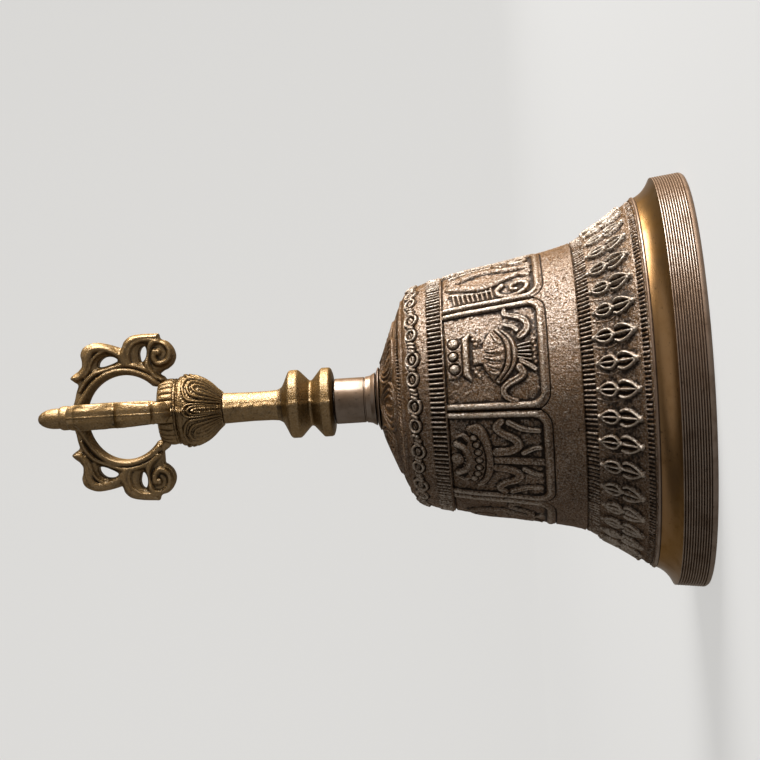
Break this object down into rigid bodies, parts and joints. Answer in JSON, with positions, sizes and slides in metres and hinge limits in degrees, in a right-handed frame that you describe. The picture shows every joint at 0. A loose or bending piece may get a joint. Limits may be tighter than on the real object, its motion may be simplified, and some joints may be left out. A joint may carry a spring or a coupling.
{
  "type": "ritual hand bell",
  "caption": "Flared bronze hand bell with a turned brass handle, a lotus base, a ring of scrolled prongs and a hanging clapper.",
  "frame": {"origin": "centre of the mouth, in the plane of the rim that the bell stands on", "axes": "+Z along the bell axis from the mouth to the tip of the handle; +X and +Y each through a prong"},
  "size_m": [0.09, 0.09, 0.1448],
  "materials": {
    "bell_bronze": "cast bronze, satin, dark in the recesses and pale on the raised edges",
    "handle_brass": "cast yellow brass, worn, brown patina in the grooves",
    "ferrule_metal": "turned pinkish silver bronze, satin",
    "clapper_iron": "dark forged iron",
    "bob_brass": "turned brass, dulled"
  },
  "bodies": {
    "bell": {"bell_body": "bell_bronze", "crown_collar": "ferrule_metal", "ferrule": "ferrule_metal", "handle_stem": "handle_brass", "lotus_base": "handle_brass", "prong_1": "handle_brass", "prong_2": "handle_brass", "prong_3": "handle_brass", "prong_4": "handle_brass", "centre_prong": "handle_brass", "eye_bolt": "clapper_iron", "crown_washer": "clapper_iron", "lock_nut": "clapper_iron"},
    "link": {"clapper_link": "clapper_iron"},
    "clapper": {"clapper_rod": "clapper_iron", "clapper_bob": "bob_brass"}
  },
  "joints": [
    {"name": "link_swing", "type": "hinge", "parent": "bell", "child": "link", "pos_m": [0, 0, 0.04955], "axis": [1, 0, 0], "range_deg": [-30, 30]},
    {"name": "clapper_swing", "type": "hinge", "parent": "link", "child": "clapper", "pos_m": [0, 0, 0.04215], "axis": [0, 1, 0], "range_deg": [-30, 30]}
  ]
}
